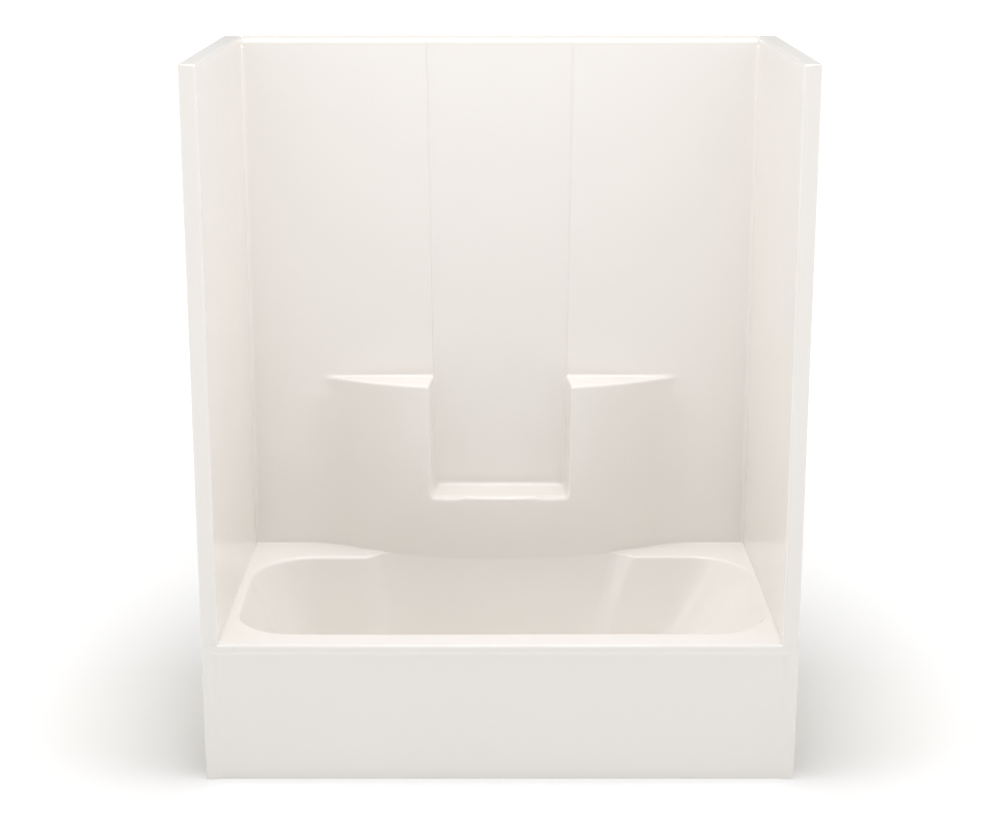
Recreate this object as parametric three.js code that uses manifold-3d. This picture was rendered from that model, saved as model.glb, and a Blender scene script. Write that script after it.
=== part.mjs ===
// A tub and shower unit for a three-walled recess, made of four moulded laminate sections
// Millimetres, +Z up, +X to the viewer's right, the apron faces -Y, the floor is Z = 0
import * as THREE from 'three';
import { mergeVertices } from 'three/addons/utils/BufferGeometryUtils.js';
import Module from 'manifold-3d';

const wasm = await Module();
wasm.setup();

// Whole unit, measured over its flanges
const unitWidth = 1524;
const unitDepth = 813;
const unitHeight = 1842;

// Moulded laminate and what lies between its sections
const laminate = 5;
const sealThickness = 1.5;
const seatGap = 0.3;
const overrun = 10;

// End walls: the front strip, the taper of the clear width and the stiffening hem
const stripWidth = 42;
const wallTaper = 7;
const stripEdgeRadius = 8;
const hemDepth = 25;

// Back wall: the pocket behind it, its top shoulder and flange
const backPocket = 28;
const shoulderDrop = 10;
const flangeClearance = 2;

// Back wall: the forward swell that makes the shelves
const bowHalfChord = 500;
const bowRise = 135;
const shelfHeight = 878;

// Back wall: the centre panel and the soap ledge at its foot
const panelHalfTop = 203;
const panelHalfFoot = 186;
const panelStep = 6;
const cheekDraft = 13;
const soapLedgeHeight = 550;
const soapLipHeight = 7;
const soapLipHalf = 112;
const soapLipWidth = 14;

// Tub: rim, rails and corner ledges
const rimHeight = 371;
const frontRail = 86;
const leftRail = 30;
const rightRail = 22;
const cornerLedge = 119;
const ledgeTip = 312;
const ledgeBlend = 76;
const noseRadius = 9;
const noseDrop = 18;
const apronSetback = 4;
const upstandHeight = 25;
const upstandClearance = 1.5;
const skirtDepth = 40;

// Tub: basin
const rimRadius = 12;
const coveRadius = 60;
const frontCorner = 160;
const backCorner = 164;
const floorFrontCorner = 130;
const floorBackCorner = 110;
const frontSlope = 44;
const backSlope = 46;
const leftSlope = 90;
const rightSlope = 210;

// Timber and plywood under and behind the laminate
const runnerHeight = 34;
const boardThickness = 12;
const boardMargin = 45;
const runnerWidth = 45;
const battenThickness = 18;
const battenWidth = 70;
const toeBoardHeight = 60;
const backBattenThickness = 14;
const battenEndGap = 40;
const shelfBoardThickness = 9;

// Corner bolts
const boltRadius = 3;
const boltHeadHeight = 4;
const boltHeadRadius = 5.5;
const boltTail = 3;
const nutHeight = 5;
const boltClearance = 0.3;
const boltCount = 4;

// Waste outlet and its stopper
const drainSetIn = 62;
const drainTailRadius = 24;
const drainBoreRadius = 20;
const drainFlangeRadius = 36;
const drainFlangeThickness = 3;
const drainTailLength = 40;
const drainHoleClearance = 1;
const boardHoleRadius = 48;
const gasketThickness = 1.5;
const washerThickness = 3;
const washerRadius = 33;
const nutRadius = 36;
const drainNutHeight = 8;
const crossBarWidth = 3;
const crossBarHeight = 6;
const crossBarDepth = 14;
const hubRadius = 8;
const postRadius = 4;
const sleeveRadius = 7.5;
const stopperRadius = 26;
const stopperThickness = 3;
const stopperCrown = 3;
const stopperSealThickness = 2.5;
const stopperSealRadius = 23;
const knobRadius = 7;
const knobHeight = 8;

// Facets
const cornerSegments = 8;
const backSegments = 36;
const arcSegments = 36;
const filletSegments = 3;
const boltSides = 12;
const drainSides = 24;
const hexSides = 6;

// Planes that several pieces share
const front = -unitDepth / 2;
const rear = unitDepth / 2;
const halfWidth = unitWidth / 2;
const innerFront = halfWidth - stripWidth;
const innerRear = innerFront - wallTaper;
const wallFace = rear - backPocket;
const flangeRear = rear - laminate - flangeClearance;
const backHalf = innerRear - sealThickness;
const footHeight = rimHeight + sealThickness;
const shoulderHeight = unitHeight - shoulderDrop;
const deckUnderside = rimHeight - laminate;
const floorUnderside = runnerHeight + boardThickness;
const floorHeight = floorUnderside + laminate;
const bowRadius = (bowHalfChord ** 2 + bowRise ** 2) / (2 * bowRise);
const bowCentre = wallFace + bowRadius - bowRise;
const basinFront = front + frontRail;
const basinBack = wallFace - cornerLedge;
const basinLeft = leftRail - innerFront;
const basinRight = innerFront - rightRail;
const drainX = basinLeft + leftSlope + coveRadius + drainSetIn;
const drainY = (basinFront + frontSlope + basinBack - backSlope) / 2;

// Laminate, timber, metal and rubber
const laminateFinish = { color: 0xece6df, roughness: 0.14, metalness: 0 };
const timberFinish = { color: 0xc9a677, roughness: 0.75, metalness: 0 };
const plyFinish = { color: 0xb98f5e, roughness: 0.7, metalness: 0 };
const zincFinish = { color: 0xb9bcc0, roughness: 0.35, metalness: 1 };
const chromeFinish = { color: 0xdadde0, roughness: 0.08, metalness: 1 };
const sealFinish = { color: 0xe6e0d8, roughness: 0.5, metalness: 0 };
const rubberFinish = { color: 0x2b2b2d, roughness: 0.8, metalness: 0 };

// A closed geometry as a solid that can be joined and cut
function solidOf(geometry) {
  geometry.deleteAttribute('normal');
  geometry.deleteAttribute('uv');
  const merged = mergeVertices(geometry);
  const vertProperties = new Float32Array(merged.attributes.position.array);
  const triVerts = new Uint32Array(merged.index.array);
  return new wasm.Manifold(new wasm.Mesh({ numProp: 3, vertProperties, triVerts }));
}

// A solid as a geometry again
function geometryOf(solid) {
  const { numProp, vertProperties, triVerts } = solid.getMesh();
  const geometry = new THREE.BufferGeometry();
  geometry.setAttribute('position', new THREE.BufferAttribute(new Float32Array(vertProperties), numProp));
  geometry.setIndex(new THREE.BufferAttribute(new Uint32Array(triVerts), 1));
  return geometry;
}

// A block between two corners
function block(x0, x1, y0, y1, z0, z1) {
  const geometry = new THREE.BoxGeometry(x1 - x0, y1 - y0, z1 - z0);
  geometry.translate((x0 + x1) / 2, (y0 + y1) / 2, (z0 + z1) / 2);
  return solidOf(geometry);
}

// A plan outline of [x, y] points raised from z0 to z1
function raise(points, z0, z1) {
  const shape = new THREE.Shape(points.map(([x, y]) => new THREE.Vector2(x, y)));
  const geometry = new THREE.ExtrudeGeometry(shape, { depth: z1 - z0, bevelEnabled: false });
  geometry.translate(0, 0, z0);
  return solidOf(geometry);
}

// A section of [y, z] points run along X from x0 to x1
function runAlongX(points, x0, x1) {
  const shape = new THREE.Shape(points.map(([y, z]) => new THREE.Vector2(y, z)));
  const geometry = new THREE.ExtrudeGeometry(shape, { depth: x1 - x0, bevelEnabled: false });
  geometry.applyMatrix4(new THREE.Matrix4().set(0, 0, 1, x0, 1, 0, 0, 0, 0, 1, 0, 0, 0, 0, 0, 1));
  return solidOf(geometry);
}

// A round or many-sided bar along Z, from z0 to z1 on the axis at (x, y)
function upright(x, y, radius, z0, z1, sides) {
  const geometry = new THREE.CylinderGeometry(radius, radius, z1 - z0, sides);
  geometry.rotateX(Math.PI / 2);
  geometry.translate(x, y, (z0 + z1) / 2);
  return solidOf(geometry);
}

// A round or many-sided bar along X, from x0 to x1 on the axis at (y, z)
function crossways(x0, x1, y, z, radius, sides) {
  const geometry = new THREE.CylinderGeometry(radius, radius, Math.abs(x1 - x0), sides);
  geometry.rotateZ(Math.PI / 2);
  geometry.translate((x0 + x1) / 2, y, z);
  return solidOf(geometry);
}

// Points of an arc about (x, y), from one angle to another
function arc(x, y, radiusX, radiusY, from, to, segments) {
  const points = [];
  for (let i = 0; i <= segments; i += 1) {
    const angle = from + ((to - from) * i) / segments;
    points.push([x + radiusX * Math.cos(angle), y + radiusY * Math.sin(angle)]);
  }
  return points;
}

// A solid through rings of points that all have the same count, closed by a fan at each end
function loft(rings) {
  const count = rings[0].length;
  const index = [];
  for (let ring = 0; ring + 1 < rings.length; ring += 1) {
    for (let i = 0; i < count; i += 1) {
      const a = ring * count + i;
      const b = ring * count + ((i + 1) % count);
      index.push(a, a + count, b, b, a + count, b + count);
    }
  }
  const middle = (ring) => [0, 1, 2].map((axis) => ring.reduce((sum, point) => sum + point[axis], 0) / count);
  const last = rings.length - 1;
  const topMiddle = rings.length * count;
  for (let i = 0; i < count; i += 1) {
    const next = (i + 1) % count;
    index.push(topMiddle, i, next, topMiddle + 1, last * count + next, last * count + i);
  }
  const positions = [...rings.flat(), middle(rings[0]), middle(rings[last])].flat();
  const vertProperties = new Float32Array(positions);
  return new wasm.Manifold(new wasm.Mesh({ numProp: 3, vertProperties, triVerts: new Uint32Array(index) }));
}

const unit = new THREE.Group();

// Adds a solid to the unit as one named piece
function addPiece(name, solid, finish) {
  const mesh = new THREE.Mesh(geometryOf(solid), new THREE.MeshStandardMaterial(finish));
  mesh.name = name;
  unit.add(mesh);
}

// The front of the swell in the back wall at a distance x from the middle
function bowLine(x, inset) {
  return bowCentre - Math.sqrt((bowRadius - inset) ** 2 - x ** 2);
}

// How much of the corner ledge is there at x: none between the tips, all past the blend
function ledgeShare(x) {
  const share = THREE.MathUtils.clamp((Math.abs(x) - ledgeTip) / ledgeBlend, 0, 1);
  return THREE.MathUtils.smoothstep(share, 0, 1);
}

// The basin's back edge at rim height
function basinBackLine(x) {
  const share = ledgeShare(x);
  const bowed = bowLine(Math.min(Math.abs(x), bowHalfChord), 0);
  return basinBack * share + bowed * (1 - share);
}

// A plan outline of the basin, with how much of the rim's rounding each point takes
function basinOutline(left, right, near, backShift, nearCorner, farCorner) {
  const farLeft = left + farCorner;
  const farRight = right - farCorner;
  const far = basinBack - backShift;
  const outline = [
    ...arc(left + nearCorner, near + nearCorner, nearCorner, nearCorner, -Math.PI, -Math.PI / 2, cornerSegments),
    ...arc(right - nearCorner, near + nearCorner, nearCorner, nearCorner, -Math.PI / 2, 0, cornerSegments),
    ...arc(farRight, far - farCorner, farCorner, farCorner, 0, Math.PI / 2, cornerSegments),
  ].map(([x, y]) => ({ x, y, share: 1 }));
  for (let i = 1; i < backSegments; i += 1) {
    const x = farRight + ((farLeft - farRight) * i) / backSegments;
    outline.push({ x, y: basinBackLine(x) - backShift, share: ledgeShare(x) });
  }
  arc(farLeft, far - farCorner, farCorner, farCorner, Math.PI / 2, Math.PI, cornerSegments).forEach(([x, y]) => {
    outline.push({ x, y, share: 1 });
  });
  return outline;
}

const rimOutline = basinOutline(basinLeft, basinRight, basinFront, 0, frontCorner, backCorner);
const floorOutline = basinOutline(
  basinLeft + leftSlope,
  basinRight - rightSlope,
  basinFront + frontSlope,
  backSlope,
  floorFrontCorner,
  floorBackCorner,
);

// One ring of the basin: so far down its wall, moved out by spread where the rim is rounded, and by plain
function basinRing(wallShare, spread, plain, z) {
  const points = rimOutline.map((rim, i) => ({
    x: rim.x + (floorOutline[i].x - rim.x) * wallShare,
    y: rim.y + (floorOutline[i].y - rim.y) * wallShare,
    share: rim.share,
  }));
  return points.map((point, i) => {
    const before = points[(i + points.length - 1) % points.length];
    const after = points[(i + 1) % points.length];
    const alongX = after.x - before.x;
    const alongY = after.y - before.y;
    const length = Math.hypot(alongX, alongY);
    const out = spread * point.share + plain;
    return [point.x + (alongY / length) * out, point.y - (alongX / length) * out, z];
  });
}

// The basin as a solid, with every surface moved outwards by skin
function basinSolid(skin) {
  const rings = [];
  const rimCentre = rimHeight - rimRadius;
  const coveCentre = floorHeight + coveRadius;
  const rounding = rimRadius - skin;
  rings.push(basinRing(0, rimRadius - skin, skin, rimHeight + overrun * Math.sign(laminate - skin)));
  for (let i = 0; i <= filletSegments; i += 1) {
    const angle = (Math.PI / 2) * (i / filletSegments);
    rings.push(basinRing(0, rounding * (1 - Math.sin(angle)), skin, rimCentre + rounding * Math.cos(angle)));
  }
  const wallDrop = rimCentre - coveCentre;
  rings.push(basinRing((wallDrop / 2) / wallDrop, 0, skin, coveCentre + wallDrop / 2));
  const cove = coveRadius + skin;
  for (let i = 0; i <= filletSegments; i += 1) {
    const angle = (Math.PI / 2) * (i / filletSegments);
    rings.push(basinRing(1, 0, cove * Math.cos(angle) - coveRadius, coveCentre - cove * Math.sin(angle)));
  }
  return loft(rings);
}

// Tub: one moulding with apron, rim, deck, corner ledges and basin
const noseSection = [
  [front + apronSetback, 0],
  [front + apronSetback, rimHeight - noseDrop - apronSetback],
  [front, rimHeight - noseDrop],
  ...arc(front + noseRadius, rimHeight - noseRadius, noseRadius, noseRadius, Math.PI, Math.PI / 2, filletSegments),
  [front + noseRadius + laminate, rimHeight],
  [front + noseRadius + laminate, deckUnderside],
  [front + apronSetback + laminate, deckUnderside],
  [front + apronSetback + laminate, 0],
];
let tub = runAlongX(noseSection, -innerFront, innerFront);
tub = tub.add(block(-halfWidth, halfWidth, front + noseRadius, rear, deckUnderside, rimHeight));
tub = tub.add(basinSolid(laminate));
const upstandInner = innerFront + laminate + upstandClearance;
const upstandTop = rimHeight + upstandHeight;
tub = tub.add(block(-upstandInner, upstandInner, rear - laminate, rear, deckUnderside, upstandTop));
for (const side of [-1, 1]) {
  const span = (a, b) => [side * a, side * b].sort((p, q) => p - q);
  const strip = span(innerFront - laminate, halfWidth);
  tub = tub.add(block(...strip, front, front + laminate, 0, rimHeight));
  tub = tub.add(block(...strip, front, front + noseRadius + laminate, deckUnderside, rimHeight));
  tub = tub.add(block(...span(halfWidth - laminate, halfWidth), front, front + skirtDepth, 0, rimHeight));
  const upstand = span(upstandInner, upstandInner + laminate);
  tub = tub.add(block(...upstand, front + laminate + upstandClearance, rear, deckUnderside, upstandTop));
}
tub = tub.subtract(basinSolid(0));
const drainHole = drainTailRadius + drainHoleClearance;
tub = tub.subtract(
  upright(drainX, drainY, drainHole, floorUnderside - overrun, floorHeight + overrun, drainSides),
);
addPiece('tub', tub, laminateFinish);

// Back wall: flat above, swelling forward below the shelves, with a centre panel let into it
function bowSegment(inset, z0, z1) {
  const radius = bowRadius - inset;
  const chordY = wallFace + laminate + seatGap;
  const reach = Math.asin(Math.min(1, Math.sqrt(radius ** 2 - (bowCentre - chordY) ** 2) / radius));
  const points = arc(0, bowCentre, radius, radius, -Math.PI / 2 - reach, -Math.PI / 2 + reach, arcSegments);
  return raise(points, z0, z1);
}

// The space of the centre panel, with every face moved outwards by grow
function panelSpace(grow) {
  const plane = wallFace + panelStep + grow;
  const near = wallFace - bowRise - overrun;
  const top = unitHeight + overrun;
  const halfTop = panelHalfTop + grow;
  const halfFoot = panelHalfFoot + grow;
  const draft = (cheekDraft * (plane - near)) / bowRise;
  const full = [
    [halfFoot, halfFoot + draft, soapLedgeHeight - grow],
    [halfTop, halfTop + draft, top],
  ].map(([back, nearHalf, z]) => [[-back, plane, z], [-nearHalf, near, z], [nearHalf, near, z], [back, plane, z]]);
  const space = loft([full[1], full[0]]);
  const lipTop = soapLedgeHeight + soapLipHeight - grow;
  const aboveLip = space.intersect(block(-halfWidth, halfWidth, near - overrun, rear, lipTop, top + overrun));
  const radius = bowRadius - soapLipWidth + grow;
  const circle = arc(0, bowCentre, radius, radius, 0, 2 * Math.PI, arcSegments * 6).slice(1);
  const behindLip = space.intersect(raise(circle, soapLedgeHeight - laminate - overrun, lipTop + overrun));
  const lipHalf = soapLipHalf - grow;
  const lipZone = block(-lipHalf, lipHalf, near - overrun, rear, soapLedgeHeight - laminate - overrun, top + overrun);
  return aboveLip.add(behindLip).add(space.subtract(lipZone));
}

// The back wall's outer form with every face moved inwards by inset, open below and behind if inset
function backWallForm(inset) {
  const open = inset > 0 ? overrun : 0;
  const half = backHalf - inset;
  const flat = block(-half, half, wallFace + inset, flangeRear + open, rimHeight - open, shoulderHeight - inset);
  const swell = bowSegment(inset, rimHeight - open, shelfHeight - inset);
  return flat.add(swell).subtract(panelSpace(inset));
}
let backWall = backWallForm(0).subtract(backWallForm(laminate));
backWall = backWall.add(
  block(-backHalf, backHalf, flangeRear - laminate, rear, shoulderHeight - laminate, shoulderHeight),
);
backWall = backWall.add(
  block(-backHalf, backHalf, rear - laminate, rear, shoulderHeight - laminate, unitHeight),
);

// End walls: a face, a front strip with a hem and a top return, mirrored for the two ends
function endWallPlan(side) {
  const edge = stripEdgeRadius;
  const outer = arc(innerFront + edge, front + edge, edge, edge, -Math.PI / 2, -Math.PI, filletSegments);
  const inner = arc(
    innerFront + edge,
    front + edge,
    edge - laminate,
    edge - laminate,
    -Math.PI,
    -Math.PI / 2,
    filletSegments,
  );
  const points = [
    [halfWidth, front],
    ...outer,
    [innerRear, wallFace],
    [innerRear, flangeRear],
    [innerRear + laminate, flangeRear],
    [innerRear + laminate, wallFace],
    ...inner,
    [halfWidth, front + laminate],
  ];
  return points.map(([x, y]) => [side * x, y]);
}

function endWall(side) {
  const span = (a, b) => [side * a, side * b].sort((p, q) => p - q);
  const edge = stripEdgeRadius;
  let wall = raise(endWallPlan(side), rimHeight, unitHeight);
  const hem = span(halfWidth - laminate, halfWidth);
  wall = wall.add(block(...hem, front, front + hemDepth, rimHeight, unitHeight));
  const top = [
    [halfWidth, front],
    ...arc(innerFront + edge, front + edge, edge, edge, -Math.PI / 2, -Math.PI, filletSegments),
    [innerRear, wallFace],
    [innerRear, flangeRear],
    [halfWidth, flangeRear],
  ].map(([x, y]) => [side * x, y]);
  return wall.add(raise(top, unitHeight - laminate, unitHeight));
}

// Sealing strips: each is the foot of its wall, cut off at the height of the seam
function splitAtFoot(wall) {
  const reach = unitWidth;
  const strip = block(-reach, reach, -reach, reach, rimHeight - overrun, footHeight);
  return { strip: wall.intersect(strip), wall: wall.subtract(strip) };
}

// Corner bolts run along X through both flanges and the strip between them
const boltY = (wallFace + laminate + flangeRear) / 2;
const boltPitch = (shoulderHeight - footHeight) / boltCount;
const boltHeights = Array.from({ length: boltCount }, (_, i) => footHeight + boltPitch * (i + 1 / 2));
const flangeFace = backHalf - laminate;
const plateFace = innerRear + laminate;

function boltHoles(side) {
  const holes = boltHeights.map((z) => crossways(
    side * (flangeFace - overrun),
    side * (plateFace + overrun),
    boltY,
    z,
    boltRadius + boltClearance,
    boltSides,
  ));
  return holes.reduce((all, hole) => all.add(hole));
}

const backSplit = splitAtFoot(backWall.subtract(boltHoles(-1)).subtract(boltHoles(1)));
addPiece('back_wall', backSplit.wall, laminateFinish);
addPiece('back_deck_seal', backSplit.strip, sealFinish);

for (const [name, side] of [['left', -1], ['right', 1]]) {
  const span = (a, b) => [side * a, side * b].sort((p, q) => p - q);
  const holes = boltHoles(side);
  const split = splitAtFoot(endWall(side).subtract(holes));
  addPiece(`${name}_end_wall`, split.wall, laminateFinish);
  addPiece(`${name}_deck_seal`, split.strip, sealFinish);
  const strip = block(...span(backHalf, innerRear), wallFace, flangeRear, footHeight, shoulderHeight);
  addPiece(`${name}_corner_seal`, strip.subtract(holes), sealFinish);
  boltHeights.forEach((z, i) => {
    const headEnd = side * (flangeFace - boltHeadHeight);
    const boltEnd = side * (plateFace + nutHeight + boltTail);
    const head = crossways(headEnd, side * flangeFace, boltY, z, boltHeadRadius, hexSides);
    const shank = crossways(headEnd, boltEnd, boltY, z, boltRadius, boltSides);
    addPiece(`${name}_corner_bolt_${i + 1}`, head.add(shank), zincFinish);
    const nut = crossways(side * plateFace, side * (plateFace + nutHeight), boltY, z, boltHeadRadius, hexSides);
    addPiece(`${name}_corner_nut_${i + 1}`, nut.subtract(holes), zincFinish);
  });
}

// Base board under the basin floor, on two runners that stand on the floor
const boardLeft = basinLeft + leftSlope + boardMargin;
const boardRight = basinRight - rightSlope - boardMargin;
const boardFront = basinFront + frontSlope + boardMargin;
const boardBack = basinBack - backSlope - boardMargin;
const board = block(boardLeft, boardRight, boardFront, boardBack, runnerHeight, floorUnderside);
const boardHole = upright(
  drainX,
  drainY,
  boardHoleRadius,
  runnerHeight - overrun,
  floorUnderside + overrun,
  drainSides,
);
addPiece('base_board', board.subtract(boardHole), plyFinish);
addPiece(
  'front_runner',
  block(boardLeft, boardRight, boardFront, boardFront + runnerWidth, 0, runnerHeight),
  timberFinish,
);
addPiece(
  'rear_runner',
  block(boardLeft, boardRight, boardBack - runnerWidth, boardBack, 0, runnerHeight),
  timberFinish,
);

// Timber behind the apron and under the deck
const apronBack = front + apronSetback + laminate;
const timberHalf = innerFront - laminate - seatGap;
const railUnderside = deckUnderside - battenThickness;
addPiece(
  'toe_board',
  block(-timberHalf, timberHalf, apronBack, apronBack + battenThickness, 0, toeBoardHeight),
  timberFinish,
);
addPiece(
  'rail_batten',
  block(-timberHalf, timberHalf, apronBack, apronBack + 2 * battenThickness, railUnderside, deckUnderside),
  timberFinish,
);
const postPlaces = [['left', -timberHalf + battenWidth / 2], ['centre', 0], ['right', timberHalf - battenWidth / 2]];
for (const [name, x] of postPlaces) {
  const half = battenWidth / 2;
  addPiece(
    `apron_post_${name}`,
    block(x - half, x + half, apronBack, apronBack + battenThickness, toeBoardHeight, railUnderside),
    timberFinish,
  );
}
const deckBattenTop = deckUnderside;
const deckBattenFoot = deckUnderside - battenWidth;
const endBattenRear = rear - battenEndGap;
for (const [name, side] of [['left', -1], ['right', 1]]) {
  const span = (a, b) => [side * a, side * b].sort((p, q) => p - q);
  addPiece(
    `${name}_deck_batten`,
    block(
      ...span(halfWidth - battenThickness, halfWidth),
      front + skirtDepth + seatGap,
      endBattenRear,
      deckBattenFoot,
      deckBattenTop,
    ),
    timberFinish,
  );
}
addPiece(
  'rear_deck_batten',
  block(
    battenThickness + seatGap - halfWidth,
    halfWidth - battenThickness - seatGap,
    rear - battenThickness,
    rear,
    deckBattenFoot,
    deckBattenTop,
  ),
  timberFinish,
);

// Battens laminated to the hidden faces of the walls
const wallBattenFoot = shelfHeight + battenEndGap;
const wallBattenTop = shoulderHeight - laminate - battenEndGap;
const backBattenCount = 4;
const battenSpan = flangeFace - boltHeadHeight - battenEndGap - (panelHalfTop + laminate);
const backBattenPlaces = [-1, 1].flatMap((side) => [1 / 4, 1].map((share) => {
  const inner = panelHalfTop + laminate + battenSpan * share - battenWidth * share;
  return side < 0 ? -inner - battenWidth : inner;
})).sort((a, b) => a - b);
for (let i = 0; i < backBattenCount; i += 1) {
  const x = backBattenPlaces[i];
  const y = wallFace + laminate;
  addPiece(
    `back_wall_batten_${i + 1}`,
    block(x, x + battenWidth, y, y + backBattenThickness, wallBattenFoot, wallBattenTop),
    timberFinish,
  );
}

// How far out the hidden face of an end wall is at depth y
function hiddenFace(y) {
  const share = (y - front - stripEdgeRadius) / (wallFace - front - stripEdgeRadius);
  return innerFront - wallTaper * share + laminate;
}
const battenHeights = [['lower', 1 / 4], ['upper', 2 / 3]];
for (const [name, side] of [['left', -1], ['right', 1]]) {
  for (const [level, share] of battenHeights) {
    const nearY = front + hemDepth + battenEndGap;
    const farY = wallFace - battenEndGap;
    const z = footHeight + (unitHeight - laminate - footHeight) * share;
    const plan = [
      [hiddenFace(nearY) + seatGap, nearY],
      [hiddenFace(farY) + seatGap, farY],
      [hiddenFace(farY) + seatGap + battenThickness, farY],
      [hiddenFace(nearY) + seatGap + battenThickness, nearY],
    ].map(([x, y]) => [side * x, y]);
    addPiece(`${name}_wall_batten_${level}`, raise(plan, z, z + battenWidth), timberFinish);
  }
}

// Plywood under the shelves, each board carried by an upright rib that stands on the deck
const shelfBoardTop = shelfHeight - laminate - seatGap;
const shelfBoardFoot = shelfBoardTop - shelfBoardThickness;
const hollowInset = laminate + seatGap;
const boardInner = panelHalfTop + cheekDraft + 2 * laminate;
const ribX = (boardInner + bowHalfChord) / 2;
for (const [name, side] of [['left', -1], ['right', 1]]) {
  const radius = bowRadius - hollowInset;
  const reachX = Math.sqrt(radius ** 2 - (bowCentre - wallFace) ** 2);
  const points = [];
  for (let i = 0; i <= cornerSegments; i += 1) {
    const x = boardInner + ((reachX - boardInner) * i) / cornerSegments;
    points.push([side * x, bowLine(x, hollowInset)]);
  }
  points.push([side * reachX, flangeRear], [side * boardInner, flangeRear]);
  addPiece(`${name}_shelf_board`, raise(points, shelfBoardFoot, shelfBoardTop), plyFinish);
  const ribOuter = ribX + boardThickness;
  const plan = [
    [ribX, bowLine(ribX, hollowInset)],
    [ribOuter, bowLine(ribOuter, hollowInset)],
    [ribOuter, flangeRear],
    [ribX, flangeRear],
  ].map(([x, y]) => [side * x, y]);
  addPiece(`${name}_shelf_rib`, raise(plan, rimHeight, shelfBoardFoot), plyFinish);
}

// Waste outlet: a flanged body drawn down on a gasket by a locknut and washer under the floor
const ring = (outer, inner, z0, z1, sides) => {
  const whole = upright(drainX, drainY, outer, z0, z1, sides);
  return whole.subtract(upright(drainX, drainY, inner, z0 - overrun, z1 + overrun, drainSides));
};
const flangeFoot = floorHeight + gasketThickness;
const flangeTop = flangeFoot + drainFlangeThickness;
const tailFoot = floorHeight - drainTailLength;
const tailClear = drainTailRadius + seatGap;
let drainBody = ring(drainTailRadius, drainBoreRadius, tailFoot, flangeTop, drainSides);
drainBody = drainBody.add(ring(drainFlangeRadius, drainBoreRadius, flangeFoot, flangeTop, drainSides));
const barTop = floorHeight - crossBarDepth;
const barFoot = barTop - crossBarHeight;
const barReach = drainBoreRadius + (drainTailRadius - drainBoreRadius) / 2;
const barHalf = crossBarWidth / 2;
drainBody = drainBody
  .add(block(drainX - barReach, drainX + barReach, drainY - barHalf, drainY + barHalf, barFoot, barTop))
  .add(block(drainX - barHalf, drainX + barHalf, drainY - barReach, drainY + barReach, barFoot, barTop))
  .add(upright(drainX, drainY, hubRadius, barFoot, barTop, drainSides));
addPiece('drain_body', drainBody, chromeFinish);
addPiece('drain_gasket', ring(drainFlangeRadius, tailClear, floorHeight, flangeFoot, drainSides), rubberFinish);
const washerFoot = floorUnderside - washerThickness;
addPiece('drain_washer', ring(washerRadius, tailClear, washerFoot, floorUnderside, drainSides), rubberFinish);
addPiece('drain_locknut', ring(nutRadius, tailClear, washerFoot - drainNutHeight, washerFoot, hexSides), zincFinish);

// Stopper: a cap with a sleeve that slides up and down on a post in the hub of the cross bars
const stopperFoot = barTop + seatGap;
const stopperSealFoot = flangeTop + seatGap;
const capFoot = stopperSealFoot + stopperSealThickness;
const capEdge = capFoot + stopperThickness;
const capTop = capEdge + stopperCrown;
const postTop = capFoot - seatGap;
addPiece('stopper_post', upright(drainX, drainY, postRadius, barTop, postTop, drainSides), zincFinish);

const stopperProfile = [
  [0, capFoot],
  [postRadius + seatGap, capFoot],
  [postRadius + seatGap, stopperFoot],
  [sleeveRadius, stopperFoot],
  [sleeveRadius, capFoot],
  [stopperRadius, capFoot],
  [stopperRadius, capEdge],
  [knobRadius, capTop],
  [knobRadius / 2, capTop + stopperCrown],
  [knobRadius, capTop + knobHeight],
  [knobRadius / 2, capTop + knobHeight + stopperCrown],
  [0, capTop + knobHeight + stopperCrown],
].map(([x, y]) => new THREE.Vector2(x, y));
const stopperGeometry = new THREE.LatheGeometry(stopperProfile, drainSides);
stopperGeometry.rotateX(Math.PI / 2);
stopperGeometry.translate(drainX, drainY, 0);
addPiece('drain_stopper', solidOf(stopperGeometry), chromeFinish);
addPiece(
  'stopper_seal',
  ring(stopperSealRadius, sleeveRadius + seatGap, stopperSealFoot, capFoot, drainSides),
  rubberFinish,
);

export default unit;
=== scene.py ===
import math

import bmesh
import bpy
import numpy as np
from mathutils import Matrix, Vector


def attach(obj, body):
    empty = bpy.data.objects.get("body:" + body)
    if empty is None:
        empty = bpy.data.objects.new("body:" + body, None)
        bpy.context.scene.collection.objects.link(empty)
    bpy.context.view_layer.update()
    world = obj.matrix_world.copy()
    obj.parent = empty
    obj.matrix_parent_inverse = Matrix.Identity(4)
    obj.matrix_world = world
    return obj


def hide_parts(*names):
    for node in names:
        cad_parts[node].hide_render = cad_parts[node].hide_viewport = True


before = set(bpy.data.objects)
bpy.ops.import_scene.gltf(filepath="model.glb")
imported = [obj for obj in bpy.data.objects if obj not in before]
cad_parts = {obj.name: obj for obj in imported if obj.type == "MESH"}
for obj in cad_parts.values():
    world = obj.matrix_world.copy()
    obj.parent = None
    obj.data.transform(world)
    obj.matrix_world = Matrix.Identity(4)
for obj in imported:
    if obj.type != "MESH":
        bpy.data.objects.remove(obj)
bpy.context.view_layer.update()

# Camera: in front of the unit and well above its rim, tipped down, as a visitor sees it in a showroom.
# The small downward shift keeps the foot of the apron in the picture.
eye_height, eye_distance, eye_tilt = 2.292, 5.0865, math.radians(14.33)


def placed(name, data):
    """A new object in the scene that shows the data."""
    made = bpy.data.objects.new(name, data)
    bpy.context.scene.collection.objects.link(made)
    return made


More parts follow.
